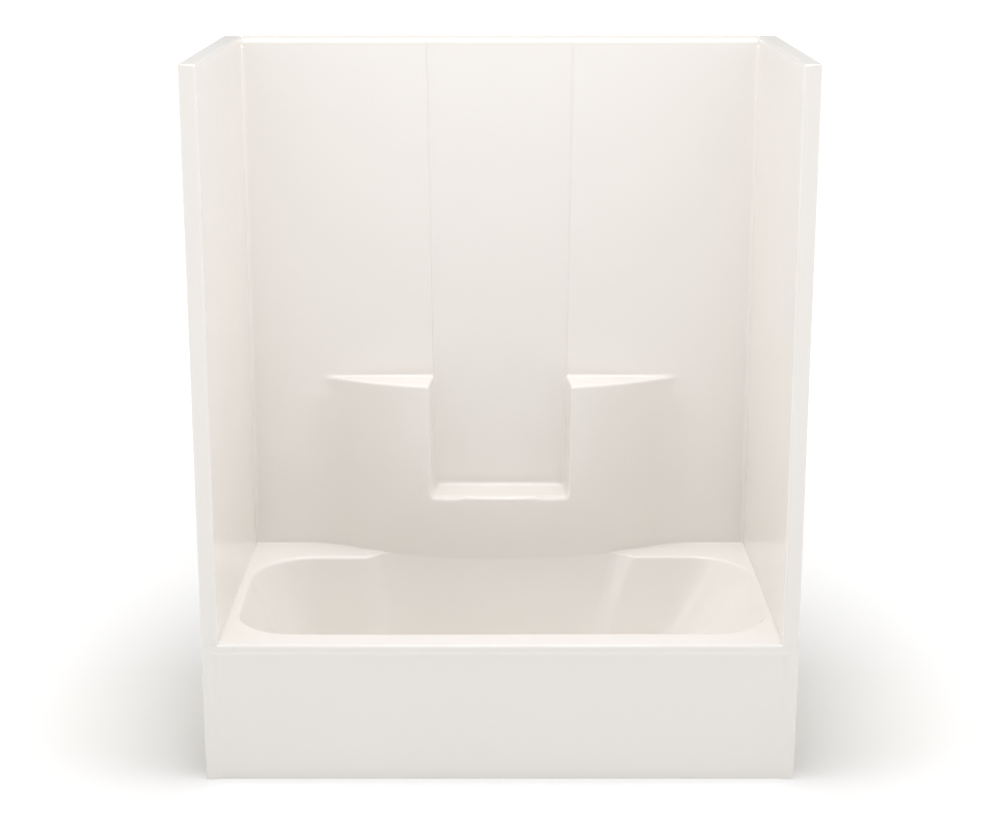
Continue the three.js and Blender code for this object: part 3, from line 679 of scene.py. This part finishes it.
place_piece("outlet_washer", [lathe(ring_profile(ring_bore, 0.0330, 0.0430, 0.0460, 0.0010))],
            rubber, "unit", "drain_washer")


def flats(apothem, angle):
    """Reach of a hexagon over the angle: its apothem over the cosine of the angle from the nearest flat."""
    return apothem / np.cos((angle + np.pi / 6) % (np.pi / 3) - np.pi / 6)


def hexagon(apothem, bore, foot, top, count=96):
    """A hexagonal nut as radii and heights over the angle. A cone cuts its points off at both faces."""
    angle = span(0, 2 * np.pi, count)
    depth = (top - foot) * np.array([0, 0.04, 0.09, 0.16, 0.26, 0.5, 0.74, 0.84, 0.91, 0.96, 1])
    cone = 0.97 * apothem + 1.73 * np.minimum(depth, top - foot - depth)
    outer = np.minimum(flats(apothem, angle), cone[:, None])
    lead = 0.06 * apothem
    rows_r = np.concatenate([np.full((2, count), [[bore], [bore + lead]]), outer,
                             np.full((3, count), [[bore + lead], [bore], [bore]])])
    rows_z = np.concatenate([[foot + lead, foot], foot + depth, [top, top - lead, foot + lead]])
    return rows_r, np.broadcast_to(rows_z[:, None], rows_r.shape), angle


nut_r, nut_z, nut_angle = hexagon(0.0312, ring_bore, 0.035, 0.043)
nut_grid = np.stack([drain_x + nut_r * np.cos(nut_angle), drain_y + nut_r * np.sin(nut_angle), nut_z], -1)
place_piece("outlet_locknut", [nut_grid], zinc, "unit", "drain_locknut")
post_profile = loop_of([(0, bar_top, 0), (0.0040, bar_top, 0.0002), (0.0040, 0.0580, 0.0010), (0, 0.0580, 0)],
                       closed=False)
place_piece("guide_post", [lathe(post_profile, 48)], zinc, "unit", "stopper_post")

# Stopper: a turned and chromed cap with a small knob. Its sleeve slides up and down on the post in the outlet.
# A rubber ring under the cap closes the outlet, and the cap lifts by 8 mm to open it.
cap_profile = loop_of([
    (0, cap_foot, 0), (0.0043, cap_foot, 0.0004), (0.0043, 0.0373, 0.0006), (0.0075, 0.0373, 0.0006),
    (0.0075, cap_foot, 0.0002), (0.0260, cap_foot, 0.0010), (0.0260, 0.0609, 0.0014), (0.0170, 0.0634, 0.0200),
    (0.0042, 0.0645, 0.0015), (0.0038, 0.0680, 0.0020), (0.0070, 0.0700, 0.0012), (0.0068, 0.0735, 0.0015),
    (0.0036, 0.0753, 0.0050), (0, 0.0753, 0),
], steps=7, closed=False)
place_piece("stopper_cap", [lathe(cap_profile)], chrome, "stopper", "drain_stopper")
place_piece("stopper_ring", [lathe(ring_profile(0.0078, 0.0230, 0.0558, cap_foot, 0.0008))], rubber, "stopper",
            "stopper_seal")

# Seals under the walls' feet: soft strips, 1.5 mm thick, bedded between the deck and the three walls.
# They are the colour of the moulding, so the seam hardly shows.
seal_material = clouded("bedding_strip", (40.0,), ((0.905, 0.875, 0.838), (0.920, 0.891, 0.855)), (0.45, 0.15),
                        (700.0,), (0.0002, 0.5))


def finish_nodes(material, *names):
    """Gives CAD nodes that stay as they are their own material."""
    for name in names:
        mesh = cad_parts[name].data
        mesh.materials.clear()
        mesh.materials.append(material)


finish_nodes(seal_material, "back_deck_seal", "left_deck_seal", "right_deck_seal")

# Back wall: a moulded panel, flat above, that swells forward below the shelves, with a shallow centre panel
# let into it down to the soap ledge. Its foot stands on the deck and its top ends in a nailing flange.
wall_foot, shelf_height, soap_height = 0.3725, 0.878, 0.550
shoulder_height, unit_height, flange_face = 1.832, 1.842, 0.4015
back_half, return_depth, panel_plane = 0.7115, 0.3995, wall_face + 0.006
half_foot, half_top, panel_top = 0.186, 0.203, 1.852
draft, shelf_fall, shelf_edge, flange_fillet, side_edge = 0.013 / 0.135, 0.02, 0.0075, 0.003, 0.0012
lip_height, lip_depth, lip_reach, tray_fall, tray_fillet = 0.0065, 0.017, 0.122, 0.0015, 0.014


def round_meet(a, b, r):
    """The space inside both a and b, with the edge between them rounded to r."""
    return np.minimum(-r, np.maximum(a, b)) + np.hypot(np.maximum(r + a, 0), np.maximum(r + b, 0))


def round_join(a, b, r):
    """The space inside a or b, with the inner corner between them filled to r."""
    return np.maximum(r, np.minimum(a, b)) - np.hypot(np.maximum(r - a, 0), np.maximum(r - b, 0))


def panel_half(z):
    """Half the width of the centre panel at height z: it widens evenly from its foot to its top."""
    return half_foot + (half_top - half_foot) * (z - soap_height) / (panel_top - soap_height)


def wall_distance(p):
    """How far p is outside the back wall, less than zero inside it. Wall, swell, shoulder and flange are joined,
    and the panel's space is taken out. Its corners are soft below the shelves and crisp above them."""
    x, y, z = np.moveaxis(p, -1, 0)
    swell = np.hypot(x, y - bow_centre) - bow_radius
    shelf_top = z - shelf_height - shelf_fall * (y - wall_face)
    block = round_meet(swell, shelf_top, shelf_edge)
    below_shelf = smooth((0.865 - z) / 0.06) * smooth((np.abs(x) - 0.30) / 0.12)
    wall = round_join(wall_face - y, block, 0.009 + 0.021 * below_shelf)
    low = 1 - smooth((z - 0.845) / 0.05)
    behind = -swell
    lip = lip_height * smooth((lip_depth - behind) / 0.007) * smooth((lip_reach - np.abs(x)) / 0.016)
    trough = soap_height + lip - tray_fall * smooth((0.03 - behind) / 0.02) - z
    cheek = (np.abs(x) - panel_half(z) - draft * (panel_plane - y)) / math.hypot(1, draft)
    space = round_meet(cheek, y - panel_plane, 0.0025 + 0.0155 * low)
    space = round_meet(space, trough, tray_fillet)
    wall = round_meet(wall, -space, 0.0034 + 0.0053 * low)
    wall = round_meet(wall, z - shoulder_height, shelf_edge)
    wall = round_join(wall, flange_face - y, flange_fillet)
    return round_meet(wall, np.abs(x) - back_half, side_edge)


# Columns of the right half, from the middle outwards: on the panel, up the cheek, over its edge, along the
# swell and the wall, round the side and back along the return. Each has a lean of its ray to the side.
panel_share = np.concatenate([np.linspace(0, 0.86, 12), [0.89, 0.915, 0.94, 0.96, 0.98]])
cheek_share = np.array([0, 0.06, 0.13, 0.21, 0.32, 0.45, 0.58, 0.70, 0.80, 0.88, 0.94, 1])
edge_steps = np.array([0.0015, 0.003, 0.005, 0.0075, 0.0105, 0.014, 0.019, 0.026])
swell_places = np.concatenate([np.linspace(0.245, 0.52, 22), np.linspace(0.54, 0.70, 7), [0.7055, 0.7075, 0.7095]])
side_share = np.array([0, 0.08, 0.18, 0.32, 0.5, 0.75, 1])
stretches = panel_share, cheek_share, edge_steps, swell_places, side_share
kinds, values = np.repeat(range(5), [len(stretch) for stretch in stretches]), np.concatenate(stretches)
leans = np.concatenate([
    0.5 * smooth((panel_share - 0.8) / 0.2),
    0.5 + 0.5 * np.sin(np.pi * cheek_share) + 0.1 * cheek_share,
    0.55 * (1 - smooth(edge_steps / 0.03)),
    -0.4 * smooth((swell_places - 0.69) / 0.0215),
    -0.4 - 0.5 * smooth(side_share * 3),
])
nominal = np.concatenate([panel_share * 0.19, np.full(12, 0.205), 0.205 + edge_steps, swell_places,
                          np.full(7, back_half)])

# Rows from the foot up, each the cut of a plane that tips back at 45 degrees: dense along the front of the soap
# ledge, its rear corner, the shelf's front edge, its rear corner and the top.
bow_at = bow_line(nominal)
marks = np.stack([
    wall_foot + bow_at,
    soap_height + bow_at,
    soap_height + np.maximum(bow_at + 0.1225, panel_plane),
    shelf_height + wall_face - np.hypot(np.maximum(wall_face - bow_at, 0), 0.02),
    *np.outer([shelf_height + wall_face, shoulder_height + wall_face, shoulder_height + flange_face,
               unit_height + flange_face], np.ones(len(nominal))),
])
close = np.array([0.0018, 0.004, 0.0065, 0.0095, 0.013, 0.018, 0.026])


def rows_between(low, high, low_side, middle):
    """Heights between two marks: close steps below the upper one, and above the lower one where that is set, with
    even ones between them. Where the marks come near each other, the steps shrink with the space between them."""
    shrink = np.minimum(1, (high - low) / 0.075)
    start = low + (close[:, None] * shrink if low_side else np.zeros((1, 1)))
    stop = high - close[::-1, None] * shrink
    even = start[-1] + (stop[0] - start[-1]) * np.linspace(0, 1, middle + 2)[1:-1, None]
    return [row for part in (low[None], start[0 if low_side else 1:], even, stop) for row in part]


rows = [marks[0], marks[0] + 0.0006]
for low, low_side, middle in ((0, 0, 8), (1, 1, 8), (2, 1, 14), (3, 0, 8), (4, 1, 40)):
    rows += rows_between(marks[low] + (0.002 if low == 0 else 0), marks[low + 1], low_side, middle)
rows += list(marks[5] + (marks[6] - marks[5]) * np.linspace(0, 1, 9)[:-1, None])
rows += list(marks[6] + (marks[7] - marks[6]) * np.linspace(0, 1, 6)[:, None])
level = np.array(rows)


def sharp_depth(x, face, top):
    """Depth of a sharp wall on the planes of the rows: its face above the top of a step, the swell below it."""
    return np.minimum(face, np.maximum(bow_line(x), level - top))


corner_x = panel_half(np.maximum(level - panel_plane, soap_height))
edge_x = corner_x.copy()
for _ in range(4):
    depth = sharp_depth(edge_x, wall_face, shelf_height)
    edge_x = panel_half(np.maximum(level - depth, soap_height)) + draft * (panel_plane - depth)
corner_y = sharp_depth(corner_x, panel_plane, soap_height)
edge_y = sharp_depth(edge_x, wall_face, shelf_height)
edge_x = np.maximum(edge_x, corner_x + 0.004)
x_of = [
    values * corner_x,
    corner_x + (edge_x - corner_x) * values,
    edge_x + values,
    np.maximum(values, edge_x + 0.028),
    np.full(level.shape, back_half),
]
grid_x = np.choose(kinds[None], x_of)
top_y = np.where(level > shoulder_height + wall_face, np.minimum(level - shoulder_height, flange_face), 0)
beside = sharp_depth(grid_x, wall_face, shelf_height)
side_y = np.maximum(beside, top_y)
side_y = side_y + values * np.maximum(return_depth - side_y, 0.002)
y_of = [
    sharp_depth(grid_x, panel_plane, soap_height),
    corner_y + (edge_y - corner_y) * values,
    beside,
    beside,
    side_y,
]
grid_y = np.maximum(np.choose(kinds[None], y_of), top_y)
hold_height = (kinds == 4) * (1 - smooth((level - 1.2) / 0.8))
grid_z = level - grid_y + hold_height * (grid_y - wall_face)
sharp = np.stack([grid_x, grid_y, grid_z], -1)
ray = np.stack([leans, np.ones(len(leans)), -np.ones(len(leans))], -1)
ray = np.broadcast_to(ray, sharp.shape).copy()
ray[:, kinds == 4, 2] *= 0.3
near, deep = np.full(level.shape, -0.045), np.full(level.shape, 0.025)
for _ in range(30):
    middle = (near + deep) / 2
    inside = wall_distance(sharp + ray * middle[..., None]) < 0
    near, deep = np.where(inside, near, middle), np.where(inside, middle, deep)
half_wall = sharp + ray * ((near + deep) / 2)[..., None]
half_wall[0, :, 2] = wall_foot
half_wall[-1, :, 2] = unit_height
half_wall[:, 0, 0] = 0
whole_wall = np.concatenate([half_wall[:, :0:-1] * [-1, 1, 1], half_wall], axis=1)
back_wall = shell(skin("back_wall_panel", [whole_wall], [gelcoat_material, lay_up_material]), laminate)
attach(back_wall, "unit")
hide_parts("back_wall")

# Timber behind the back wall: four upright battens above the shelves, bonded to the rough side of the panel.
# A plywood board on a plywood rib carries each shelf.
dress_boards(upright_wood, batten_edge, *[f"back_wall_batten_{i}" for i in (1, 2, 3, 4)])
shelf_plywood = plywood("shelf_plywood", 2, 0.8637, 0.009, 5)
rib_plywood = plywood("rib_plywood", 0, 0.363, 0.012, 5)
for name in ("left", "right"):
    dress_boards(shelf_plywood, 0.0006, f"{name}_shelf_board")
    dress_boards(rib_plywood, 0.0008, f"{name}_shelf_rib")

# End walls: moulded panels with a front strip, a short hem behind it and a flat top return.
# They taper by 7 mm towards the back, so the moulding leaves its mould.
inner_rear, strip_radius, hem_radius, wall_hem = 0.713, 0.008, 0.003, 0.025
hem_turn, side_turn = 0.0015, 0.0070
hem_part = span((half_width, front + wall_hem), (half_width, front + hem_radius), 4)
strip_part = np.concatenate([
    arc(half_width - hem_radius, front + hem_radius, hem_radius, 0, -np.pi / 2, 5),
    span((half_width - hem_radius, front), (inner_front + strip_radius, front), 5),
    arc(inner_front + strip_radius, front + strip_radius, strip_radius, -np.pi / 2, -np.pi * 0.75, 5),
])
side_part = np.concatenate([
    arc(inner_front + strip_radius, front + strip_radius, strip_radius, -np.pi * 0.75, -np.pi, 5),
    span((inner_front, front + strip_radius), (inner_rear, wall_face), 34),
    np.linspace((inner_rear, wall_face), (inner_rear, return_depth), 3),
])
plan = np.concatenate([hem_part, strip_part, side_part])
hidden_side = right_of(np.gradient(plan, axis=0))
hidden_side[:4], hidden_side[-2:] = [-1, 0], [1, 0]
top_turn = hem_turn + (side_turn - hem_turn) * smooth((np.arange(len(plan)) - 8) / 8)
arc_angle = np.linspace(0, np.pi / 2, 8)[:, None]
wall_levels = np.concatenate([[wall_foot, wall_foot + 0.001], np.linspace(0.39, 1.80, 24)])[:, None]
wall_inset = np.concatenate([0 * wall_levels + 0 * top_turn, top_turn * (1 - np.cos(arc_angle))])
wall_height = np.concatenate([wall_levels + 0 * top_turn, unit_height - top_turn * (1 - np.sin(arc_angle))])
side_grid = raised(plan + hidden_side * wall_inset[..., None], wall_height)

# The top return fills the plan between the turned edge and the outer line, as a blend of its four sides.
top_line = side_grid[-1, :, :2]
fold = len(hem_part) + len(strip_part)
line_in = top_line[fold:]
line_front = top_line[len(hem_part):fold + 1][::-1]
line_out = np.linspace(line_front[-1], (line_front[-1, 0], return_depth), len(line_in))
line_back = np.linspace(line_in[-1], line_out[-1], len(line_front))
a = np.linspace(0, 1, len(line_front))[None, :, None]
b = np.linspace(0, 1, len(line_in))[:, None, None]
top_xy = ((1 - a) * line_in[:, None] + a * line_out[:, None] + (1 - b) * line_front[None] + b * line_back[None]
          - (1 - a) * (1 - b) * line_front[0] - a * (1 - b) * line_front[-1]
          - (1 - a) * b * line_in[-1] - a * b * line_out[-1])
top_grid = raised(top_xy, unit_height)
for name, side in (("left", -1), ("right", 1)):
    walls = [side_grid[:, ::-1], top_grid]
    if side < 0:
        walls = [grid[:, ::-1] * [-1, 1, 1] for grid in walls]
    end_wall = shell(skin(f"{name}_end_panel", walls, [gelcoat_material, lay_up_material]), laminate)
    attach(end_wall, "unit")
    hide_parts(f"{name}_end_wall")

# Timber behind the end walls: two level battens on each, cut to the panel's taper and bonded to its rough side.
# The lower one is where a grip can be screwed on.
for name in ("left", "right"):
    dress_boards(cross_wood, batten_edge, f"{name}_wall_batten_lower", f"{name}_wall_batten_upper")

# Corner joints: in each back corner a soft strip lies between the wall sections. Four zinc-plated bolts with nuts,
# behind the face of the wall, draw the sections together.
finish_nodes(seal_material, "left_corner_seal", "right_corner_seal")
bolt_heights = np.array([0.5549, 0.9198, 1.2847, 1.6496])
bolt_y, bolt_head, bolt_seat, bolt_end = 0.3915, 0.7025, 0.7065, 0.7260
nut_in, nut_out, half_flats = 0.7180, 0.7230, 0.00476


def crossways(radius, height, angle, z, side):
    """Radii and heights over the angle laid along the width of the unit about a bolt's line at height z. The left
    side is the mirror of the right one, with its columns turned back, so that its faces still point outwards."""
    grid = np.stack([height, bolt_y + radius * np.cos(angle), z + radius * np.sin(angle)], -1)
    return grid if side > 0 else grid[:, ::-1] * [-1, 1, 1]


nut_r, nut_x, bolt_angle = hexagon(half_flats, 0.0031, nut_in, nut_out, 48)
head_deep = np.array([0, 0.0003, 0.0007, 0.0012, 0.0024, 0.0040])
head_r = np.minimum(flats(half_flats, bolt_angle), (0.0045 + 1.73 * head_deep)[:, None])
shank_x = np.concatenate([[bolt_seat, 0.7100], np.arange(0.7105, 0.7252, 0.0005), [0.7254, bolt_end]])
thread_r = np.where(np.arange(len(shank_x) - 4) % 2, 0.0026, 0.0030)
shank_r = np.concatenate([[0.0030, 0.0030], thread_r, [0.0028, 0.0022]])
bolt_r = np.concatenate([np.zeros((1, 48)), head_r, shank_r[:, None] + 0 * bolt_angle, np.zeros((1, 48))])
bolt_x = np.concatenate([[bolt_head], bolt_head + head_deep, shank_x, [bolt_end]])[:, None] + 0 * bolt_r
for name, side in (("left", -1), ("right", 1)):
    for part, radius, reach in (("bolt", bolt_r, bolt_x), ("nut", nut_r, nut_x)):
        place_piece(f"{name}_corner_{part}s", [crossways(radius, reach, bolt_angle, z, side) for z in bolt_heights],
                    zinc, "unit", *[f"{name}_corner_{part}_{i}" for i in (1, 2, 3, 4)])

# Sealing beads: a concave bead of sealant in the moulding's own colour, smoothed with a wet finger. It runs along
# the walls' feet and up both back corners, over the seams, so that the joints hardly show.
foot_bead, corner_bead, bead_gap = 0.006, 0.011, 0.00005
ledge_inner, narrowest, bead_from, bead_ease, bead_stop, bead_taper = 0.52, 0.006, 0.009, 0.015, 1.810, 0.014
bead_material = clouded("sealing_bead", (2.2, 2.0), moulding_colours, (0.22, 0.08), (90.0,), (0.0003, 0.4))
bead_turn = np.linspace(0, np.pi / 2, 11)
bead_out = np.concatenate([1 - np.sin(bead_turn), [0, 0, 0.5]])
bead_up = np.concatenate([1 - np.cos(bead_turn), [0.5, 0, 0]])
inner_line = inner_rear + (inner_front - inner_rear) * corner_bead / (wall_face - front)

# The foot bead's path on the right: from the front strip along the end wall, round the corner and along the back
# wall to the middle. Its size falls with the width of the deck, down to a flush strip over the basin.
side_y = np.linspace(front + strip_radius + 0.001, wall_face - corner_bead, 60)[:-1]
back_x = np.linspace(inner_line - corner_bead, 0, 150)[1:]
foot_line = np.concatenate([
    np.stack([inner_line + (inner_front - inner_line) * (wall_face - side_y) / (wall_face - front), side_y], -1),
    arc(inner_line - corner_bead, wall_face - corner_bead, corner_bead, 0, np.pi / 2, 9),
    [[inner_line - corner_bead, wall_face]],
    np.stack([back_x, np.interp(back_x, half_wall[0, :, 0], half_wall[0, :, 1])], -1),
])
foot_line = np.concatenate([foot_line, foot_line[-2::-1] * mirror])
foot_x, foot_y = foot_line.T
deck_width = np.where(np.abs(foot_x) < ledge_inner, foot_y - rim_back(foot_x), 0.1)
bead_grown = 0.15 + 0.85 * smooth((foot_y - front - bead_from) / bead_ease)
bead_size = np.minimum(foot_bead, 0.35 * deck_width) * bead_grown
on_deck = smooth(deck_width / narrowest)
flush_out = np.concatenate([np.linspace(0.00045, 0.00015, 11), [-0.0003, -0.0003, -0.0003]])
flush_up = np.concatenate([np.linspace(-0.0015, 0.0040, 11), [0.0040, 0.0010, -0.0015]])
away = on_deck * (bead_size * bead_out[:, None] + bead_gap) + (1 - on_deck) * flush_out[:, None]
above = on_deck * (bead_size * bead_up[:, None] + bead_gap) + (1 - on_deck) * flush_up[:, None]
foot_grid = raised(foot_line - right_of(np.gradient(foot_line, axis=0)) * away[..., None], rim_height + above)

# The corner beads stand on the deck and taper off under the wall's rounded top.
corner_z = np.concatenate([[rim_height + bead_gap], np.linspace(0.40, 1.80, 15), np.linspace(1.806, 1.824, 10)])
corner_size = corner_bead * (1 - 0.9 * smooth((corner_z - bead_stop) / bead_taper))
right_bead = np.stack([
    inner_line - bead_gap - corner_size * bead_out[:, None],
    wall_face - bead_gap - corner_size * bead_up[:, None],
    corner_z + 0 * bead_out[:, None],
], -1)
bead_grids = []
for grid in (foot_grid, right_bead[:, ::-1] * [-1, 1, 1], right_bead):
    ends = [np.broadcast_to(grid[:, i].mean(0), (len(grid), 1, 3)) for i in (0, -1)]
    grid = np.concatenate([ends[0], grid, ends[1]], axis=1)
    bead_grids.append(np.concatenate([grid, grid[:1]])[::-1])
bead = skin("sealing_bead", bead_grids, [bead_material])
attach(bead, "unit")
